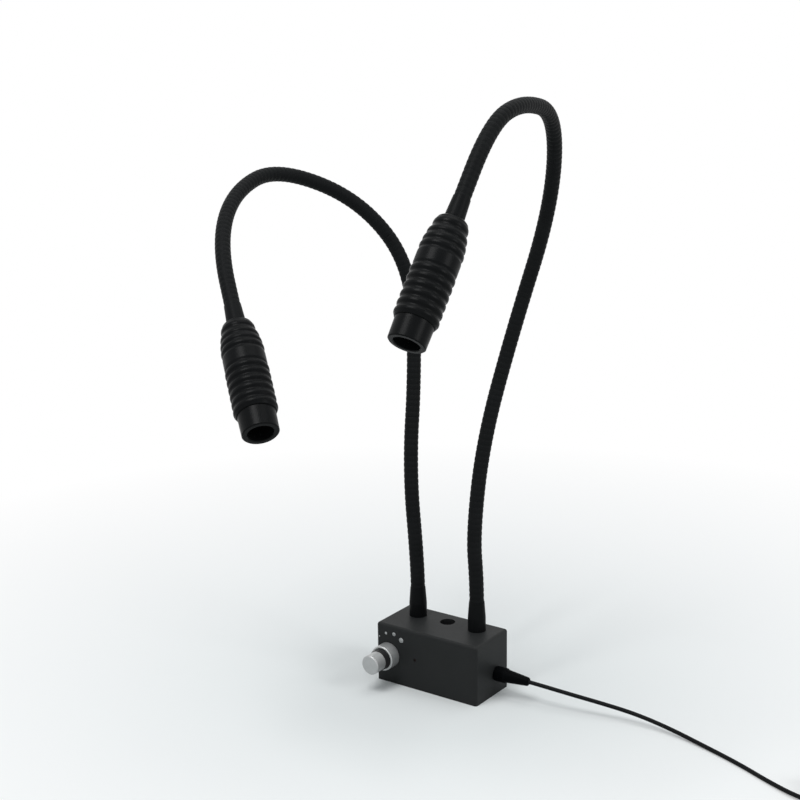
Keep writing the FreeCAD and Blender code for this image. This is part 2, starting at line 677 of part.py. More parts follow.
def hose_set(route, bends, aim):
    """The hose in five lengths: each ends in a dome, the next starts in a cup round it."""
    points, corners = rounded_route(route)
    last = len(points) - 2
    print("hose bend radii", [round(c["radius"]) for c in corners])
    starts = [(0, FERRULE_FLOOR / (points[1] - points[0]).Length)] + [(k, 0.5) for k in bends]
    ends = [(k, 0.5) for k in bends] + [(last, 1.0)]
    lengths = []
    total = 0.0
    for (first, first_at), (stop, stop_at) in zip(starts, ends):
        wire = route_wire(points, corners, first, stop, first_at, stop_at)
        total += wire.Length
        outer = tube(wire, HOSE_R)
        begin = points[first] + (points[first + 1] - points[first]) * first_at
        finish = points[stop] + (points[stop + 1] - points[stop]) * stop_at
        toward_start = points[first + 1] - points[first]
        toward_end = points[stop + 1] - points[stop]
        toward_start.normalize()
        toward_end.normalize()
        inner = tube(wire, HOSE_BORE_R)
        if stop_at < 1.0:
            outer = outer.fuse(Part.makeSphere(HOSE_R, finish, toward_end, 0, 90, 360))
            inner = inner.fuse(Part.makeCylinder(HOSE_BORE_R, 2 * HOSE_R, finish, toward_end))
        if first_at == 0.5:
            outer = outer.cut(Part.makeSphere(HOSE_R + CUP_GAP, begin))
        if stop_at == 1.0:
            reach = Part.makeCylinder(HOSE_R, HOSE_IN_HEAD, finish, V(*aim))
            outer = outer.fuse(reach)
            inner = inner.fuse(Part.makeCylinder(HOSE_BORE_R, HOSE_IN_HEAD, finish, V(*aim)))
        lengths.append(outer.cut(inner).removeSplitter())
    print("hose length", round(total, 1))
    return lengths


def grip():
    """Ribbed rubber grip, turned about its axis: each rib and each shoulder hoop is one arc."""
    outside = Outline((HOSE_R + FIT, 0))
    outside.line((GRIP_TOP_R, 0))
    outside.line((SHOULDER_R, GRIP_TOP_EDGE))
    for (s, r), (valley_s, valley_r) in zip(SHOULDER_RIBS, SHOULDER_VALLEYS):
        outside.arc((r, s), (valley_r, valley_s))
    outside.line((BAND_R, BAND_START))
    outside.line((BAND_R, RIBS[0] - RIB_W / 2 - BAND_SLOPE))
    for s in RIBS:
        outside.line((GRIP_R, s - RIB_W / 2))
        outside.arc((RIB_R, s), (GRIP_R, s + RIB_W / 2))
    outside.line((GRIP_R, GRIP_L - GRIP_END_EDGE))
    outside.line((GRIP_R - GRIP_END_EDGE, GRIP_L))
    for point in ((GRIP_WALL_R, GRIP_L), (GRIP_WALL_R, GRIP_CAVITY), (NECK_FERRULE_R + FIT, NECK_SEAT_END),
                  (NECK_FERRULE_R + FIT, NECK_SEAT), (HOSE_R + FIT, NECK_SEAT)):
        outside.line(point)
    return outside.turned()


def nose_profile():
    back = SINK_END + LED_PLATE_T
    return [
        (LENS_R + FIT, back), (NOSE_THREAD_R, back), (NOSE_THREAD_R, GRIP_L), (NOSE_R, GRIP_L),
        (NOSE_R, GRIP_L + NOSE_SHOULDER_L), (NOSE_TIP_R, HEAD_L - NOSE_EDGE),
        (NOSE_TIP_R - NOSE_EDGE, HEAD_L), (NOSE_BORE_R + NOSE_BORE_EDGE, HEAD_L),
        (NOSE_BORE_R, HEAD_L - NOSE_BORE_EDGE), (NOSE_BORE_R, LENS_SEAT), (LENS_R + FIT, LENS_SEAT)]


def lens():
    """Plano-convex lens, its flat face against the seat, its dome towards the emitter."""
    rim = LENS_SEAT - LENS_T
    sag_r = (LENS_R ** 2 + LENS_DOME ** 2) / (2 * LENS_DOME)
    dome = Part.makeSphere(sag_r, V(0, 0, rim - LENS_DOME + sag_r))
    barrel = Part.makeCylinder(LENS_R, LENS_T + LENS_DOME, V(0, 0, rim - LENS_DOME))
    return dome.common(barrel)


def heat_sink():
    body = Part.makeCylinder(GRIP_WALL_R - FIT, SINK_L, V(0, 0, SINK_END - SINK_L))
    cuts = [Part.makeCylinder(SINK_BORE_R, SINK_L, V(0, 0, SINK_END - SINK_L))]
    pitch = SINK_L / (SINK_GROOVES + 1)
    for k in range(1, SINK_GROOVES + 1):
        at = V(0, 0, SINK_END - SINK_L + k * pitch - SINK_GROOVE_W / 2)
        ring = Part.makeCylinder(GRIP_WALL_R + 1, SINK_GROOVE_W, at)
        cuts.append(ring.cut(Part.makeCylinder(GRIP_WALL_R - SINK_GROOVE_DEPTH, SINK_GROOVE_W, at)))
    return body.cut(cuts)


def led_plate():
    plate = Part.makeCylinder(GRIP_WALL_R - FIT, LED_PLATE_T, V(0, 0, SINK_END))
    notches = [Part.makeCylinder(LED_NOTCH_R, LED_PLATE_T, V(side * LED_NOTCH_AT, 0, SINK_END))
               for side in (-1, 1)]
    return plate.cut(notches)


def led_emitter():
    base_z = SINK_END + LED_PLATE_T
    half = EMITTER_W / 2
    package = box(-half, half, -half, half, base_z, base_z + EMITTER_T)
    dome = Part.makeSphere(EMITTER_DOME_R, V(0, 0, base_z + EMITTER_T), V(0, 0, 1), 0, 90, 360)
    return fused([package, dome])


def neck_ferrule():
    return revolved([
        (HOSE_R + FIT, NECK_SEAT), (NECK_FERRULE_R, NECK_SEAT), (NECK_FERRULE_R, NECK_SEAT + NECK_FERRULE_L),
        (HOSE_R + FIT, NECK_SEAT + NECK_FERRULE_L)])


def neck_sleeve():
    return revolved([
        (HOSE_R + FIT, -NECK_SLEEVE_L), (NECK_SLEEVE_TIP_R, -NECK_SLEEVE_L),
        (NECK_SLEEVE_R, -NECK_SLEEVE_TAPER), (NECK_SLEEVE_R, 0), (HOSE_R + FIT, 0)])


def build_head(side, neck, aim):
    pieces = {
        "head_grip": grip(),
        "nose_barrel": revolved(nose_profile()),
        "lens": lens(),
        "heat_sink": heat_sink(),
        "led_plate": led_plate(),
        "led_emitter": led_emitter(),
        "neck_ferrule": neck_ferrule(),
        "neck_sleeve": neck_sleeve(),
    }
    for name, shape in pieces.items():
        export(side + "_" + name, aimed(shape, neck, aim))


def head_axis(route):
    """The head runs on in line with the last run of the hose."""
    along = V(*route[-1]) - V(*route[-2])
    along.normalize()
    return (along.x, along.y, along.z)


def plug_barrel():
    start = BOX_W / 2 - PLUG_BARREL_L
    barrel = rod(PLUG_BARREL_R, (start, SOCKET_Y, SOCKET_Z), (1, 0, 0), PLUG_BARREL_L)
    bore = rod(PLUG_BORE_R, (start, SOCKET_Y, SOCKET_Z), (1, 0, 0), PLUG_BARREL_L - PLUG_BORE_FLOOR)
    return barrel.cut(bore)


def plug_boot():
    shape = revolved([
        (0, 0), (BOOT_R - BOOT_EDGE, 0), (BOOT_R, BOOT_EDGE), (BOOT_R, BOOT_GRIP_L),
        (BOOT_R - BOOT_EDGE, BOOT_GRIP_L + BOOT_STEP), (BOOT_END_R, BOOT_L - BOOT_EDGE),
        (BOOT_END_R - BOOT_EDGE, BOOT_L), (0, BOOT_L)])
    return aimed(shape, (BOX_W / 2, SOCKET_Y, SOCKET_Z), (1, 0, 0))


def cord_tube(route):
    points, corners = rounded_route(route)
    wire = route_wire(points, corners)
    solid = tube(wire, CORD_R)
    ideal = math.pi * CORD_R ** 2 * wire.Length
    print("cord bend radii", [round(c["radius"], 1) for c in corners])
    print("cord length", round(wire.Length, 1),
          "volume over section times length", round(solid.Volume / ideal, 4))
    return solid


def coil_point(turn):
    """Point of the coil's centre line: flat spirals in and out, a layer higher after each."""
    turn = min(max(turn, 0.0), COIL_TURNS)
    layer = min(int(turn / (LAYER_TURNS + CLIMB_TURNS)), COIL_LAYERS - 1)
    within = turn - layer * (LAYER_TURNS + CLIMB_TURNS)
    inward = layer % 2 == 0
    travel = COIL_STEP * min(within, LAYER_TURNS)
    radius = COIL_OUTER_R - travel if inward else COIL_INNER_R + travel
    share = max(within - LAYER_TURNS, 0.0) / CLIMB_TURNS
    rise = COIL_LIFT * share * share * (3 - 2 * share)
    angle = math.radians(360 * turn - 90)
    return V(COIL_X + radius * math.cos(angle), COIL_Y + radius * math.sin(angle),
             COIL_FLOOR_Z + layer * COIL_LIFT + rise)


def coil_stops():
    """Turns at which the arcs of the coil meet: about four to a turn, two to a climb."""
    stops = [0.0]
    for layer in range(COIL_LAYERS):
        steps = math.ceil(4 * LAYER_TURNS)
        stops += [stops[-1] + LAYER_TURNS * (k + 1) / steps for k in range(steps)]
        if layer < COIL_LAYERS - 1:
            stops += [stops[-1] + CLIMB_TURNS / 2, stops[-1] + CLIMB_TURNS]
    return stops


def least_self_gap(wire, radius):
    """Least gap between stretches of a tube that lie over four diameters apart along it."""
    count = int(wire.Length / 0.8)
    points = wire.discretize(count)
    apart = int(8 * radius / (wire.Length / count))
    least = min(points[i].distanceToPoint(points[j])
                for i in range(count) for j in range(i + apart, count))
    return least - 2 * radius


def cord_coil():
    """The spare lead as one wound tube, its two ends straight and square to what they meet."""
    stops = coil_stops()
    nudge = 0.01
    places = [coil_point(t) for t in stops]
    headings = [coil_point(t + nudge) - coil_point(t - nudge) for t in stops]
    headings[0] = V(1, 0, 0)
    headings[-1] = V(0, 1, 0)
    for heading in headings:
        heading.normalize()
    edges = [Part.LineSegment(places[0] - headings[0] * COIL_END_L, places[0]).toShape()]
    for k in range(len(stops) - 1):
        arcs = biarc(places[k], headings[k], places[k + 1], headings[k + 1])
        edges += [arc_edge(arc) for arc in arcs]
    edges.append(Part.LineSegment(places[-1], places[-1] + headings[-1] * COIL_END_L).toShape())
    wire = Part.Wire(edges)
    solid = tube(wire, CORD_R)
    ideal = math.pi * CORD_R ** 2 * wire.Length
    print("coil length", round(wire.Length, 1), "least gap to itself", round(least_self_gap(wire, CORD_R), 3),
          "volume over section times length", round(solid.Volume / ideal, 4))
    return solid


def coil_tie():
    """Closed band round the bundle, through the middle of the coil."""
    half = TIE_W / 2
    hole_r = COIL_INNER_R - CORD_R
    x0 = COIL_X - COIL_OUTER_R - CORD_R - TIE_GAP
    x1 = COIL_X - math.sqrt(hole_r ** 2 - half ** 2) + TIE_GAP
    top = COIL_FLOOR_Z + COIL_LIFT * (COIL_LAYERS - 1) + CORD_R + TIE_GAP
    band = box(x0 - TIE_T, x1 + TIE_T, COIL_Y - half, COIL_Y + half, 0, top + TIE_T)
    return band.cut(box(x0, x1, COIL_Y - half - 1, COIL_Y + half + 1, TIE_T, top))


def adapter_body():
    x = TAIL_ROUTE[-1][0]
    case = box(x - ADAPTER_W / 2, x + ADAPTER_W / 2, ADAPTER_Y0, ADAPTER_Y0 + ADAPTER_L - ADAPTER_COVER_T,
               0, ADAPTER_H)
    long_edges = [e for e in case.Edges if e.BoundBox.YLength > ADAPTER_L / 2]
    return case.makeFillet(ADAPTER_EDGE_R, long_edges)


def adapter_cover():
    x = TAIL_ROUTE[-1][0]
    back = ADAPTER_Y0 + ADAPTER_L
    lid = box(x - ADAPTER_W / 2, x + ADAPTER_W / 2, back - ADAPTER_COVER_T, back, 0, ADAPTER_H)
    long_edges = [e for e in lid.Edges if e.BoundBox.YLength > ADAPTER_COVER_T / 2]
    return lid.makeFillet(ADAPTER_EDGE_R, long_edges)


def adapter_blades():
    x = TAIL_ROUTE[-1][0]
    back = ADAPTER_Y0 + ADAPTER_L
    blades = []
    for side in (-1, 1):
        mid = x + side * BLADE_PITCH / 2
        z0 = (ADAPTER_H - BLADE_W) / 2
        blades.append(box(mid - BLADE_T / 2, mid + BLADE_T / 2, back, back + BLADE_L, z0, z0 + BLADE_W))
    return Part.makeCompound(blades)


def adapter_relief():
    shape = revolved([(0, 0), (RELIEF_TIP_R, 0), (RELIEF_R, RELIEF_L), (0, RELIEF_L)])
    tail_end = TAIL_ROUTE[-1]
    return aimed(shape, tail_end, (0, 1, 0))


export("housing", housing())
export("base_plate", base_plate())
export("base_screws", base_screws())
export("ballast_block", ballast_block())
export("ballast_screws", ballast_screws())
export("control_board", control_board())
export("board_screws", board_screws())
export("driver_coil", driver_coil())
export("board_capacitors", board_capacitors())
export("arm_connectors", arm_connectors())
export("status_led", status_led())
export("power_socket", power_socket())
export("socket_nut", socket_nut())
export("brightness_control", brightness_control())
export("control_nut", control_nut())
export("knob_bezel", knob_bezel())
export("knob_shaft", knob_shaft())
export("knob_skirt", knob_skirt())
export("knob_cap", knob_cap())
export("knob_set_screw", knob_set_screw())
export("arm_ferrules", Part.makeCompound([arm_ferrule(x) for x in (-ARM_X, ARM_X)]))
export("arm_nuts", Part.makeCompound([arm_nut(x) for x in (-ARM_X, ARM_X)]))

ARMS = (
    ("left", -ARM_X, LEFT_ROUTE, LEFT_BENDS),
    ("right", ARM_X, RIGHT_ROUTE, RIGHT_BENDS),
)
for side, foot_x, route, bends in ARMS:
    export(side + "_base_sleeve", base_sleeve(foot_x))
    axis = head_axis(route)
    for name, length in zip(HOSE_NAMES, hose_set(route, bends, axis)):
        export(side + "_" + name, length)
    build_head(side, route[-1], axis)

export("plug_barrel", plug_barrel())
export("plug_boot", plug_boot())
export("cord_run", Part.makeCompound([cord_tube(CORD_ROUTE), cord_tube(TAIL_ROUTE)]))
export("cord_coil", cord_coil())
export("coil_tie", coil_tie())
export("adapter_body", adapter_body())
export("adapter_cover", adapter_cover())
export("adapter_blades", adapter_blades())
export("adapter_relief", adapter_relief())
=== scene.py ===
import math

import bpy
import numpy as np
from mathutils import Matrix


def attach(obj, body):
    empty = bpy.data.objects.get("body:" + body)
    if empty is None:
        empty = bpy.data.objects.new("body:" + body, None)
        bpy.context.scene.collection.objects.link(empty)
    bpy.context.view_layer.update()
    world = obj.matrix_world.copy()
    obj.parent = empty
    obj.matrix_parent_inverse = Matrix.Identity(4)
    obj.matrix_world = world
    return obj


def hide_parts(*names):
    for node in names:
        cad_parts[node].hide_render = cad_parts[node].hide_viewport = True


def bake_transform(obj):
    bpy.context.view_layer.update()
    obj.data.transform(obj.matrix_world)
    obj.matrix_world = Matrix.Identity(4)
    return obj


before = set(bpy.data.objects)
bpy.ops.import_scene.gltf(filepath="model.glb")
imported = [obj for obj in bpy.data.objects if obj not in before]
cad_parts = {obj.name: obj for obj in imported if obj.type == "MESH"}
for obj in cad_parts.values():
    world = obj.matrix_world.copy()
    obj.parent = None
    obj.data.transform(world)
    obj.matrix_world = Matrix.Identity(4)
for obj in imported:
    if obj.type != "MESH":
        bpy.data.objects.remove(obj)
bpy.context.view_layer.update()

# Camera
# A 72 mm lens on a 36 mm sensor, a good metre away and a little above the heads.
# Its three axes come from the turn round the object, the height and a slight roll.
LENS_MM = 72.0
SENSOR_MM = 36.0
FARTHEST_SEEN = 100.0
CAMERA_TURN = math.radians(35.713)
CAMERA_RISE = math.radians(14.761)
CAMERA_ROLL = math.radians(-0.828)
CAMERA_PLACE = (0.5448, -0.8008, 0.4469)


def stand(name, data, place, axes):
    """New object at a place, turned to three axes that are given as columns."""
    thing = bpy.data.objects.new(name, data)
    thing.matrix_world = Matrix.Translation(place) @ Matrix(axes.tolist()).to_4x4()
    bpy.context.scene.collection.objects.link(thing)
    return thing


level = np.array([math.cos(CAMERA_TURN), math.sin(CAMERA_TURN), 0.0])
back = np.array([math.sin(CAMERA_TURN) * math.cos(CAMERA_RISE),
                 -math.cos(CAMERA_TURN) * math.cos(CAMERA_RISE), math.sin(CAMERA_RISE)])
upright = np.cross(back, level)
right = level * math.cos(CAMERA_ROLL) + upright * math.sin(CAMERA_ROLL)
up = upright * math.cos(CAMERA_ROLL) - level * math.sin(CAMERA_ROLL)
camera_data = bpy.data.cameras.new("camera")
camera_data.lens = LENS_MM
camera_data.sensor_width = SENSOR_MM
camera_data.clip_end = FARTHEST_SEEN
camera = stand("camera", camera_data, CAMERA_PLACE, np.column_stack([right, up, back]))
bpy.context.scene.camera = camera

# Supply lead
# A thin two-core lead with a smooth black jacket. It leaves the plug's boot, sinks to
# the table in a loose curve, and its spare length is wound in a tied coil.
LEAD_ROUTE = np.array([
    (63.0, 4.7, 14.4), (72, 4.7, 14.3), (92, 7.8, 12.1), (110, 12.2, 9.5),
    (132, 16.7, 6.3), (156, 16.2, 3.1), (182, 9.9, 1.3), (208, 0.7, 1.3),
    (232, -10.3, 1.3), (254, -19.5, 2.3), (274.4, -19.5, 2.3)]) / 1000
LEAD_TAIL = np.array([
    (297.7, 3.8, 11.9), (297.7, 13.2, 11.9), (297.7, 21.2, 14.0), (297.7, 30.2, 14.0)]) / 1000
LEAD_WIDTH = 0.0026
COIL_CENTRE = (0.277, 0.0012, 0.0023)
COIL_OUTER = 0.0207
COIL_STEP = 0.0036
COIL_LIFT = 0.0032
COIL_TURNS = 13.25
COIL_LAYERS = 4
CLIMB = 0.5
POINTS_A_TURN = 16


def coil_points():
    """Flat spirals in and out, each followed by half a turn that climbs one layer.

    The climb eases in and out: three times the square of its share less twice the cube.
    The control points lie outside the wound circle by one over the cosine of half a
    step, because the smooth line passes inside them."""
    flat = (COIL_TURNS - CLIMB * (COIL_LAYERS - 1)) / COIL_LAYERS
    turn = np.arange(1, COIL_TURNS * POINTS_A_TURN) / POINTS_A_TURN
    layer = np.minimum(turn // (flat + CLIMB), COIL_LAYERS - 1)
    within = turn - layer * (flat + CLIMB)
    travel = COIL_STEP * np.minimum(within, flat)
    inward = layer % 2 == 0
    radius = np.where(inward, COIL_OUTER - travel, COIL_OUTER - COIL_STEP * flat + travel)
    radius = radius / math.cos(math.pi / POINTS_A_TURN)
    share = np.clip((within - flat) / CLIMB, 0, 1)
    angle = 2 * math.pi * turn - math.pi / 2
    height = COIL_LIFT * (layer + share * share * (3 - 2 * share))
    return np.column_stack([radius * np.cos(angle), radius * np.sin(angle), height]) + COIL_CENTRE


lead_line = np.vstack([LEAD_ROUTE, coil_points(), LEAD_TAIL])
lead_curve = bpy.data.curves.new("supply_lead", "CURVE")
lead_curve.dimensions = "3D"
lead_spline = lead_curve.splines.new("NURBS")
lead_spline.points.add(len(lead_line) - 1)
lead_spline.points.foreach_set("co", np.column_stack([lead_line, np.ones(len(lead_line))]).ravel())
lead_spline.order_u = 3
lead_spline.use_endpoint_u = True
lead_curve.resolution_u = 5
lead_curve.bevel_depth = LEAD_WIDTH / 2
lead_curve.bevel_resolution = 4
lead_curve.use_fill_caps = True
supply_lead = bpy.data.objects.new("supply_lead", lead_curve)
bpy.context.scene.collection.objects.link(supply_lead)


class Signal:
    """A shader value: Python's operators on it add the Math nodes that work them out."""

    def __init__(self, nodes, socket):
        self.nodes = nodes
        self.socket = socket

    def join(self, operation, first, second):
        return self.nodes.add("ShaderNodeMath", {"operation": operation}, {0: first, 1: second})

    def __add__(self, other):
        return self.join("ADD", self, other)

    def __sub__(self, other):
        return self.join("SUBTRACT", self, other)

    def __rsub__(self, other):
        return self.join("SUBTRACT", other, self)

    def __mul__(self, other):
        return self.join("MULTIPLY", self, other)

    def __pow__(self, other):
        return self.join("POWER", self, other)

    def __rpow__(self, other):
        return self.join("POWER", other, self)

    __radd__ = __add__
    __rmul__ = __mul__

    def clipped(self):
        """Nothing under 0 or over 1."""
        return self.nodes.add("ShaderNodeClamp", {}, {"Value": self})

    def beside(self, output):
        """Another output of the same node."""
        return Signal(self.nodes, self.socket.node.outputs[output])


class Nodes:
    """A node tree to which nodes are added one by one."""

    def __init__(self, tree):
        self.tree = tree

    def add(self, kind, settings, inputs, output=0):
        """One node: its settings first, then a value or a link for each named socket."""
        node = self.tree.nodes.new(kind)
        for key, value in settings.items():
            setattr(node, key, value)
        for key, value in inputs.items():
            self.feed(node.inputs[key], value)
        return Signal(self, node.outputs[output])

    def feed(self, socket, value):
        if isinstance(value, Signal):
            self.tree.links.new(value.socket, socket)
        else:
            socket.default_value = value


class Finish(Nodes):
    """A material under construction, with one Principled shader."""

    def __init__(self, name):
        self.material = bpy.data.materials.new(name)
        self.material.use_nodes = True
        super().__init__(self.material.node_tree)
        self.shader = self.tree.nodes["Principled BSDF"]

    def set(self, **values):
        """Principled sockets by name, with underscores for spaces."""
        for key, value in values.items():
            self.feed(self.shader.inputs[key.replace("_", " ")], value)

    def place(self):
        return self.add("ShaderNodeTexCoord", {}, {}, "Object")

    def noise(self, scale, detail, place=None):
        """Cloudy pattern from 0 to 1; scale is features per metre."""
        where = place or self.place()
        inputs = {"Vector": where, "Scale": scale, "Detail": detail}
        return self.add("ShaderNodeTexNoise", {}, inputs, "Fac")

    def between(self, share, low, high):
        """Colour from low to high by a share: inputs 6 and 7 and output 2 are colours."""
        inputs = {0: share, 6: (*low, 1.0), 7: (*high, 1.0)}
        return self.add("ShaderNodeMix", {"data_type": "RGBA"}, inputs, 2)

    def relief(self, height, depth):
        """Normal from a height pattern; depth in metres."""
        return self.add("ShaderNodeBump", {}, {"Height": height, "Distance": depth})


def about(middle, cloud, spread=0.12):
    """A value that wanders about its middle with a cloud, by the spread in all."""
    return (cloud - 0.5) * spread + middle


def shaded(name, dark, light, rough, grain, depth, metal=0.0, gloss=0.5, clouds=60.0, fleck=0.4):
    """Material with a mottled colour and roughness and a fine grained surface.

    The colour's share is a cloud of so many features a metre, with as much of the grain
    in it as fleck says. The grain, features a metre too, gives the relief."""
    finish = Finish(name)
    cloud = finish.noise(clouds, 4.0)
    fine = finish.noise(grain, 2.0)
    finish.set(Base_Color=finish.between(cloud * (1 - fleck) + fine * fleck, dark, light),
               Roughness=about(rough, cloud), Metallic=metal, Specular_IOR_Level=gloss,
               Normal=finish.relief(fine, depth))
    return finish.material


jacket = shaded("lead_jacket", (0.004, 0.0044, 0.0048), (0.009, 0.0098, 0.0106),
                rough=0.42, grain=2500.0, depth=0.00004, gloss=0.06)
lead_curve.materials.append(jacket)
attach(supply_lead, "base")
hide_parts("cord_run", "cord_coil")

# Base box
# A cast metal box in charcoal powder coat with softly rounded edges, closed below by
# a screwed plate. The coat has a fine tooth and is faintly mottled.


def dress(material, *nodes):
    """Give a material to every slot of the named solids."""
    for node in nodes:
        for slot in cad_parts[node].material_slots:
            slot.material = material


box_coat = shaded("charcoal_coat", (0.0125, 0.0136, 0.0139), (0.0205, 0.0219, 0.0223),
                  rough=0.50, grain=2600.0, depth=0.00007, gloss=0.12)
plate_coat = shaded("plate_coat", (0.018, 0.018, 0.019), (0.030, 0.030, 0.031),
                    rough=0.62, grain=2200.0, depth=0.00006, gloss=0.25)
steel = shaded("zinc_steel", (0.38, 0.38, 0.39), (0.60, 0.60, 0.61),
               rough=0.34, grain=1800.0, depth=0.00003, metal=1.0)
dress(box_coat, "housing")
dress(plate_coat, "base_plate")
dress(steel, "base_screws")

# Parts inside the box
# Steel ballast, the circuit board with its parts, and the sockets and nuts. They
# show only from below or through an opening, and keep the shapes of the model.
raw_steel = shaded("mill_steel", (0.20, 0.20, 0.21), (0.36, 0.36, 0.37),
                   rough=0.48, grain=900.0, depth=0.00006, metal=1.0)
nickel = shaded("nickel_plate", (0.52, 0.50, 0.47), (0.72, 0.70, 0.66),
                rough=0.22, grain=1500.0, depth=0.00002, metal=1.0)
brass = shaded("turned_brass", (0.46, 0.32, 0.12), (0.68, 0.52, 0.24),
               rough=0.30, grain=1500.0, depth=0.00002, metal=1.0)
board_mask = shaded("board_mask", (0.010, 0.10, 0.035), (0.025, 0.19, 0.07),
                    rough=0.38, grain=700.0, depth=0.00003)
copper = shaded("enamelled_wire", (0.35, 0.12, 0.04), (0.62, 0.27, 0.10),
                rough=0.30, grain=3000.0, depth=0.00008, metal=0.8)
can = shaded("aluminium_can", (0.55, 0.55, 0.56), (0.74, 0.74, 0.75),
             rough=0.30, grain=1200.0, depth=0.00002, metal=1.0)
ivory = shaded("ivory_nylon", (0.60, 0.57, 0.48), (0.78, 0.75, 0.66),
               rough=0.46, grain=1500.0, depth=0.00003)
black_mould = shaded("black_moulding", (0.005, 0.005, 0.0055), (0.011, 0.011, 0.012),
                     rough=0.44, grain=2400.0, depth=0.00004, gloss=0.25)
# The status lamp's lens is dark red, darkened nearly to black as painted shade of the hole it sits in.
lamp_red_and_painted_shade = shaded("dark_red_lamp_and_painted_shade", (0.006, 0.002, 0.002), (0.012, 0.003, 0.003),
                  rough=0.30, grain=900.0, depth=0.00001, gloss=0.1)
dress(steel, "ballast_screws", "board_screws", "arm_nuts")
dress(raw_steel, "ballast_block")
dress(nickel, "socket_nut", "control_nut")
dress(brass, "arm_ferrules")
dress(board_mask, "control_board")
dress(copper, "driver_coil")
dress(can, "board_capacitors")
dress(ivory, "arm_connectors")
dress(black_mould, "power_socket", "brightness_control")
dress(lamp_red_and_painted_shade, "status_led")

# Brightness marks
# Pale dots printed round the upper side of the knob, each larger than the last, say
# which way the light grows. The print is a twentieth of a millimetre proud.
FRONT_Y = -0.0189
PRINT_PROUD = 0.00005
MARKS = ((-0.0366, 0.0306, 0.0005), (-0.0313, 0.0338, 0.00095), (-0.0249, 0.0345, 0.0013),
         (-0.0192, 0.0316, 0.0017))
MARK_SIDES = 28


def ring_faces(count, sides, first=0, hollow=False):
    """Quads from each ring of points to the next, as lists of point numbers.

    A hollow form's last ring joins its first. Any other is closed by its two end rings."""
    rows = count if hollow else count - 1
    row, column = np.meshgrid(np.arange(rows), np.arange(sides), indexing="ij")
    below, after = (row + 1) % count, (column + 1) % sides
    quads = np.stack([row * sides + column, row * sides + after, below * sides + after,
                      below * sides + column], axis=-1).reshape(-1, 4)
    faces = (first + quads).tolist()
    if not hollow:
        rim = first + np.arange(sides)
        faces += [rim[::-1].tolist(), (rim + (count - 1) * sides).tolist()]
    return faces


def link_mesh(name, points, faces, material):
    """Smooth mesh object from an array of points and lists of point numbers."""
    mesh = bpy.data.meshes.new(name)
    mesh.from_pydata(points.tolist(), [], faces)
    mesh.polygons.foreach_set("use_smooth", np.ones(len(mesh.polygons), bool))
    mesh.materials.append(material)
    mesh.update()
    piece = bpy.data.objects.new(name, mesh)
    bpy.context.scene.collection.objects.link(piece)
    return piece


mark_angle = np.arange(MARK_SIDES) * 2 * math.pi / MARK_SIDES
mark_rings = []
mark_faces = []
for x, z, radius in MARKS:
    mark_faces += ring_faces(2, MARK_SIDES, first=MARK_SIDES * len(mark_rings))
    for depth in (FRONT_Y + PRINT_PROUD, FRONT_Y - PRINT_PROUD):
        mark_rings.append(np.column_stack([x + radius * np.cos(mark_angle), np.full(MARK_SIDES, depth),
                                           z + radius * np.sin(mark_angle)]))
print_white = shaded("pale_print", (0.30, 0.31, 0.31), (0.42, 0.43, 0.43),
                     rough=0.55, grain=3000.0, depth=0.00002, gloss=0.2)
brightness_marks = link_mesh("brightness_marks", np.vstack(mark_rings), mark_faces, print_white)
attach(brightness_marks, "base")

# Knob
# A fixed turned ring and a turned cap of satin aluminium, with a black core between.
# The lathe leaves fine rings about the axis on the faces, and rings along it outside.
KNOB_AXIS = (-0.0293, 0.0, 0.0193)
LATHE_MARKS_A_METRE = 7000.0
turned = Finish("turned_aluminium")
from_axis = turned.add("ShaderNodeVectorMath", {"operation": "SUBTRACT"}, {0: turned.place(), 1: KNOB_AXIS})
split = turned.add("ShaderNodeSeparateXYZ", {}, {0: from_axis})
across_x, along_y, across_z = (split.beside(axis) for axis in "XYZ")
from_centre = (across_x * across_x + across_z * across_z) ** 0.5
lathe_place = turned.add("ShaderNodeCombineXYZ", {}, {"X": from_centre, "Y": along_y})
lathe_rings = turned.noise(LATHE_MARKS_A_METRE, 1.0, lathe_place)
haze = turned.noise(220.0, 3.0)
satin = turned.between(lathe_rings * 0.5 + haze * 0.5, (0.36, 0.37, 0.37), (0.54, 0.55, 0.55))
turned.set(Base_Color=satin, Roughness=about(0.40, haze), Metallic=0.6,
           Normal=turned.relief(lathe_rings, 0.00003))
dress(turned.material, "knob_bezel", "knob_cap")
dress(black_mould, "knob_skirt")
dress(nickel, "knob_shaft")
dress(steel, "knob_set_screw")

# Gooseneck skins
# Each arm is a flexible metal hose in a black skin with round ribs 3.65 mm apart. A
# skin is made in four lengths that meet in a groove, each spanning one joint.
LEFT_ROUTE = np.array([
    (-23, 6.2, 40.1), (-23, 6.2, 75), (-38, 19.2, 135), (-48, 41.2, 196), (-60, 56.2, 262),
    (-89, 38.2, 307), (-119, -9.8, 331), (-111.4, -60.5, 321.4), (-89.2, -100.3, 296.9),
    (-52.9, -128.1, 256.7)]) / 1000
RIGHT_ROUTE = np.array([
    (23, 6.2, 40.1), (23, 6.2, 73), (17.3, 10.8, 103), (12.5, 30.6, 160), (18.6, 56.6, 228),
    (40.6, 66.7, 309), (60.8, 35.7, 369), (70.1, -19, 379.2), (73.5, -57.8, 369.5),
    (75.4, -97, 322.1)]) / 1000
# Each arm bends in the middles of these runs of its route, counted from the box.
ARMS = (("left", LEFT_ROUTE, (1, 3, 5, 8)), ("right", RIGHT_ROUTE, (2, 4, 6, 8)))
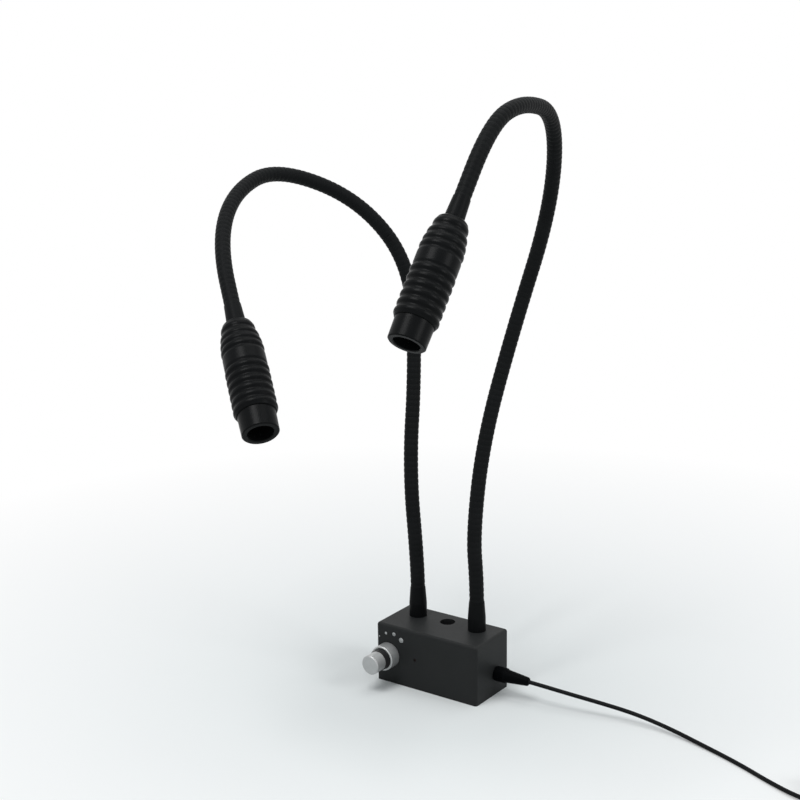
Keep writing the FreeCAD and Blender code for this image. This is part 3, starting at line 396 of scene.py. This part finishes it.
# A length's name, the bodies before and after its joint, the solids that it stands
# for, and how far from the joint it starts and ends to bend.
LENGTHS = (("skin_foot", "base", "lower", ("hose_base", "hose_lower"), 0.034),
           ("skin_rise", "lower", "upper", ("hose_upper",), 0.036),
           ("skin_arch", "upper", "arch", ("hose_arch",), 0.036),
           ("skin_neck", "arch", "head", ("hose_neck",), 0.013))
HOSE_RADIUS = 0.00475
HOSE_START = 0.0095
HOSE_TUCK = 0.0015
HOSE_SIDES = 32
RIB_PITCH = 0.00365
RIB_DEPTH = 0.00022
RIB_SHARPNESS = 1.4
RIB_STEPS = 8
RUN_STEPS = 60
HEADING_REACH = 0.001


def unit(vectors):
    """Each vector over its own length."""
    return vectors / np.linalg.norm(vectors, axis=-1, keepdims=True)


def hose_line(route):
    """Points along the arm: a parabola from the middle of each run to the middle of the
    next, tangent to both, and straight half runs at the two ends."""
    middles = (route[1:] + route[:-1]) / 2
    share = np.linspace(0, 1, RUN_STEPS, endpoint=False)[None, :, None]
    spans = ((1 - share) ** 2 * middles[:-1, None] + 2 * share * (1 - share) * route[1:-1, None]
             + share ** 2 * middles[1:, None])
    return np.vstack([route[:1], spans.reshape(-1, 3), middles[-1:], route[-1:]])


def measured(line):
    """Distance from the start of the line to each of its points."""
    return np.concatenate([[0], np.cumsum(np.linalg.norm(np.diff(line, axis=0), axis=1))])


def at_distance(line, distance):
    """Points of the line at given distances, by interpolation."""
    reach = measured(line)
    return np.column_stack([np.interp(distance, reach, line[:, k]) for k in range(3)])


def heading(line, distance):
    """Direction of the line at given distances: from just before to just after."""
    return unit(at_distance(line, distance + HEADING_REACH) - at_distance(line, distance - HEADING_REACH))


def spokes(axis, sides):
    """Directions round an axis, or round each of a row of axes: one square to it times
    the cosine of the angle, plus one square to both times the sine."""
    across = unit(np.cross(axis, (1.0, 0.0, 0.0)))[..., None, :]
    other = np.cross(axis, across[..., 0, :])[..., None, :]
    angle = (np.arange(sides) * 2 * math.pi / sides)[:, None]
    return np.cos(angle) * across + np.sin(angle) * other


hose_skin = shaded("hose_skin", (0.0055, 0.0061, 0.0064), (0.0092, 0.0100, 0.0105),
                   rough=0.48, grain=3200.0, depth=0.00003, gloss=0.035, clouds=90.0, fleck=0.0)
for side, route, bends in ARMS:
    line = hose_line(route)
    reach = measured(line)
    joints = [(route[k] + route[k + 1]) / 2 for k in bends]
    joint_at = np.array([reach[np.argmin(np.linalg.norm(line - joint, axis=1))] for joint in joints])
    grooves = np.round((joint_at[1:] + joint_at[:-1]) / 2 / RIB_PITCH) * RIB_PITCH
    edges = [HOSE_START, *grooves, reach[-1] + HOSE_TUCK]
    line = np.vstack([line, route[-1] + unit(route[-1] - route[-2]) * 2 * HOSE_TUCK])
    for k, (title, before, after, nodes, half) in enumerate(LENGTHS):
        steps = int(round((edges[k + 1] - edges[k]) / RIB_PITCH * RIB_STEPS))
        distance = np.linspace(edges[k], edges[k + 1], steps + 1)
        hoop = np.abs(np.sin(math.pi * distance / RIB_PITCH))
        radii = HOSE_RADIUS - RIB_DEPTH * (1 - hoop) ** RIB_SHARPNESS
        around = spokes(heading(line, distance), HOSE_SIDES)
        rings = at_distance(line, distance)[:, None] + radii[:, None, None] * around
        faces = ring_faces(len(rings), HOSE_SIDES)
        skin = link_mesh(side + "_" + title, rings.reshape(-1, 3), faces, hose_skin)
        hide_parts(*[side + "_" + node for node in nodes])
        bend = heading(line, joint_at[k:k + 1])[0] * half
        body_before = "base" if before == "base" else side + "_" + before
        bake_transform(skin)

# Sleeves and plug
# Smooth black rubber: a tapered sleeve at the foot of each arm, a short one at each
# neck, and the moulded boots of the plug, which has a nickel barrel, and the adapter.
sleeve_rubber = shaded("sleeve_rubber", (0.0045, 0.0050, 0.0053), (0.0075, 0.0083, 0.0088),
                       rough=0.40, grain=2600.0, depth=0.00003, gloss=0.035)
boot_rubber = shaded("boot_rubber", (0.0012, 0.0015, 0.0018), (0.0028, 0.0032, 0.0036),
                     rough=0.50, grain=2600.0, depth=0.00003, gloss=0.02)
dress(sleeve_rubber, "left_base_sleeve", "right_base_sleeve", "left_neck_sleeve", "right_neck_sleeve")
dress(boot_rubber, "plug_boot", "adapter_relief")
dress(nickel, "plug_barrel")

# Lamp head grips
# A moulded rubber grip slides over each head: four hoops on its shoulder, a plain
# band, then six hoops up to the nose. The hoops are round, as rubber leaves its mould.
GRIP_LENGTH = 62.2
GRIP_VALLEYS = ((0, 7.3), (0.9, 8.6), (2.5, 9.2), (6.7, 9.7), (11.9, 10.9), (16.6, 11.6), (22.0, 11.8),
                (23.3, 12.3), (30.4, 12.3), (32.0, 11.8), (61.7, 11.8), (62.2, 11.4))
SHOULDER_HOOPS = ((4.4, 0.5), (10.0, 0.7), (14.8, 0.65), (19.4, 0.72))
UPPER_HOOPS = 6
UPPER_START = 34.15
UPPER_PITCH = 5.05
UPPER_RISE = 0.82
HOOP_HALF = 1.6
HOOP_SQUARENESS = 3.2
GRIP_INSIDE = ((9.55, 62.2), (9.55, 16.0), (6.66, 11.0), (6.66, 3.0), (4.81, 3.0), (4.81, 0.0))
GRIP_STATIONS = 360
GRIP_SIDES = 80
SMOOTHING = 9


def grip_outline():
    """Radius over distance from the neck: a smoothed shoulder line plus one rounded bump
    for each hoop, then the inside of the sleeve back to the neck."""
    stations = np.linspace(0, GRIP_LENGTH, GRIP_STATIONS)
    places, heights = np.array(GRIP_VALLEYS).T
    window = np.hanning(SMOOTHING)
    padded = np.pad(np.interp(stations, places, heights), SMOOTHING // 2, mode="edge")
    radius = np.convolve(padded, window / window.sum(), mode="valid")
    upper = [(UPPER_START + UPPER_PITCH * k, UPPER_RISE) for k in range(UPPER_HOOPS)]
    for centre, rise in (*SHOULDER_HOOPS, *upper):
        radius += rise * np.exp(-np.abs((stations - centre) / HOOP_HALF) ** HOOP_SQUARENESS)
    return np.vstack([np.column_stack([radius, stations]), np.array(GRIP_INSIDE)]) / 1000


grip_rubber = shaded("grip_rubber", (0.0030, 0.0034, 0.0037), (0.0058, 0.0065, 0.0070),
                     rough=0.32, grain=2800.0, depth=0.00003, gloss=0.05, clouds=110.0, fleck=0.0)
radius, height = grip_outline().T[:, :, None, None]
for side, route, bends in ARMS:
    aim = unit(route[-1] - route[-2])
    rings = route[-1] + height * aim + radius * spokes(aim, GRIP_SIDES)
    faces = ring_faces(len(rings), GRIP_SIDES, hollow=True)
    grip = link_mesh(side + "_grip", rings.reshape(-1, 3), faces, grip_rubber)
    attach(grip, side + "_head")
    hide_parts(side + "_head_grip")

# Lamp head inside
# A satin black nose holds a lens against its seat. Behind it a yellow emitter sits on
# an aluminium plate and a grooved heat sink, and a brass ferrule grips the hose.
nose = shaded("nose_moulding", (0.0030, 0.0034, 0.0037), (0.0056, 0.0062, 0.0066),
              rough=0.30, grain=2400.0, depth=0.00003, gloss=0.05)
phosphor = shaded("yellow_phosphor", (0.62, 0.46, 0.06), (0.86, 0.70, 0.14),
                  rough=0.35, grain=1500.0, depth=0.00002)
clear = Finish("lens_glass")
clear.set(Base_Color=(0.90, 0.94, 0.95, 1.0), Roughness=about(0.04, clear.noise(300.0, 3.0), spread=0.04),
          Transmission_Weight=1.0, IOR=1.49)
for side in ("left", "right"):
    dress(nose, side + "_nose_barrel")
    dress(clear.material, side + "_lens")
    dress(can, side + "_heat_sink", side + "_led_plate")
    dress(phosphor, side + "_led_emitter")
    dress(brass, side + "_neck_ferrule")

# Plug-in adapter
# A body and a cover moulded in black plastic with a fine spark texture, and nickel
# blades. The lead's coil lies beside it in a plain black tie.
spark = shaded("spark_moulding", (0.009, 0.009, 0.0095), (0.018, 0.018, 0.019),
               rough=0.55, grain=2000.0, depth=0.00008, gloss=0.2)
dress(spark, "adapter_body", "adapter_cover")
dress(nickel, "adapter_blades")
dress(black_mould, "coil_tie")

# Table, lamps and surroundings
# A pale table, painted darker near the object as painted shade and paling with distance,
# soft lamps at an even level, and a white room that only the camera and reflections see.
TABLE_HALF = 12.0
PALING_STARTS = 0.08
PALING_A_METRE = 2.1
ROOM_STRENGTH = 0.38
ROOM_TINT = (0.93, 0.97, 1.0, 1.0)
WHITE = (1.0, 1.0, 1.0, 1.0)
LAMPS = (("ceiling", (0.10, 0.30, 1.40), 0.9, 3.5), ("softbox", (-0.12, -0.62, 1.46), 0.62, 11.5),
         ("window", (1.20, 0.10, 0.80), 0.5, 4.5))
LAMPS_AIM_AT = np.array([0.0, -0.02, 0.18])
NEARLY_AHEAD = (0.0, 1.0, 0.001)


def seen(nodes):
    """1 for rays from the camera and for mirrored and transmitted ones, else 0."""
    ray = nodes.add("ShaderNodeLightPath", {}, {})
    kinds = [ray.beside(kind) for kind in ("Is Camera Ray", "Is Glossy Ray", "Is Transmission Ray")]
    return (kinds[0] + kinds[1] + kinds[2]).clipped()


pale = Finish("pale_table")
distance = pale.add("ShaderNodeVectorMath", {"operation": "LENGTH"}, {0: pale.place()}, "Value")
# Painted shade: the table's colour is darker near the object and pales with distance towards white.
far_share = ((distance - PALING_STARTS) * PALING_A_METRE).clipped()
pale.set(Base_Color=pale.between(far_share, (0.76, 0.79, 0.79), (0.93, 0.95, 0.955)), Roughness=0.8,
         Specular_IOR_Level=0.15)
lit = pale.add("ShaderNodeEmission", {}, {"Color": WHITE, "Strength": 1.0})
surface = Signal(pale, pale.shader.outputs[0])
table_mix = pale.add("ShaderNodeMixShader", {}, {0: seen(pale) * far_share, 1: surface, 2: lit})
pale.feed(pale.tree.nodes["Material Output"].inputs["Surface"], table_mix)
corners = np.array([(-1, -1, 0), (1, -1, 0), (1, 1, 0), (-1, 1, 0)]) * TABLE_HALF
table = link_mesh("table", corners, [(0, 1, 2, 3)], pale.material)

world = bpy.data.worlds.new("room")
bpy.context.scene.world = world
world.use_nodes = True
room = Nodes(world.node_tree)
room_light = room.add("ShaderNodeBackground", {}, {"Color": ROOM_TINT, "Strength": ROOM_STRENGTH})
room_white = room.add("ShaderNodeBackground", {}, {"Color": WHITE, "Strength": 1.0})
room_mix = room.add("ShaderNodeMixShader", {}, {0: seen(room), 1: room_light, 2: room_white})
room.feed(room.tree.nodes["World Output"].inputs["Surface"], room_mix)

for name, place, size, power in LAMPS:
    lamp_data = bpy.data.lights.new(name, "AREA")
    lamp_data.size = size
    lamp_data.energy = power
    toward = unit(np.array(place) - LAMPS_AIM_AT)
    side_way = unit(np.cross(NEARLY_AHEAD, toward))
    stand(name, lamp_data, place, np.column_stack([side_way, np.cross(toward, side_way), toward]))

bpy.context.scene.view_settings.view_transform = "Standard"
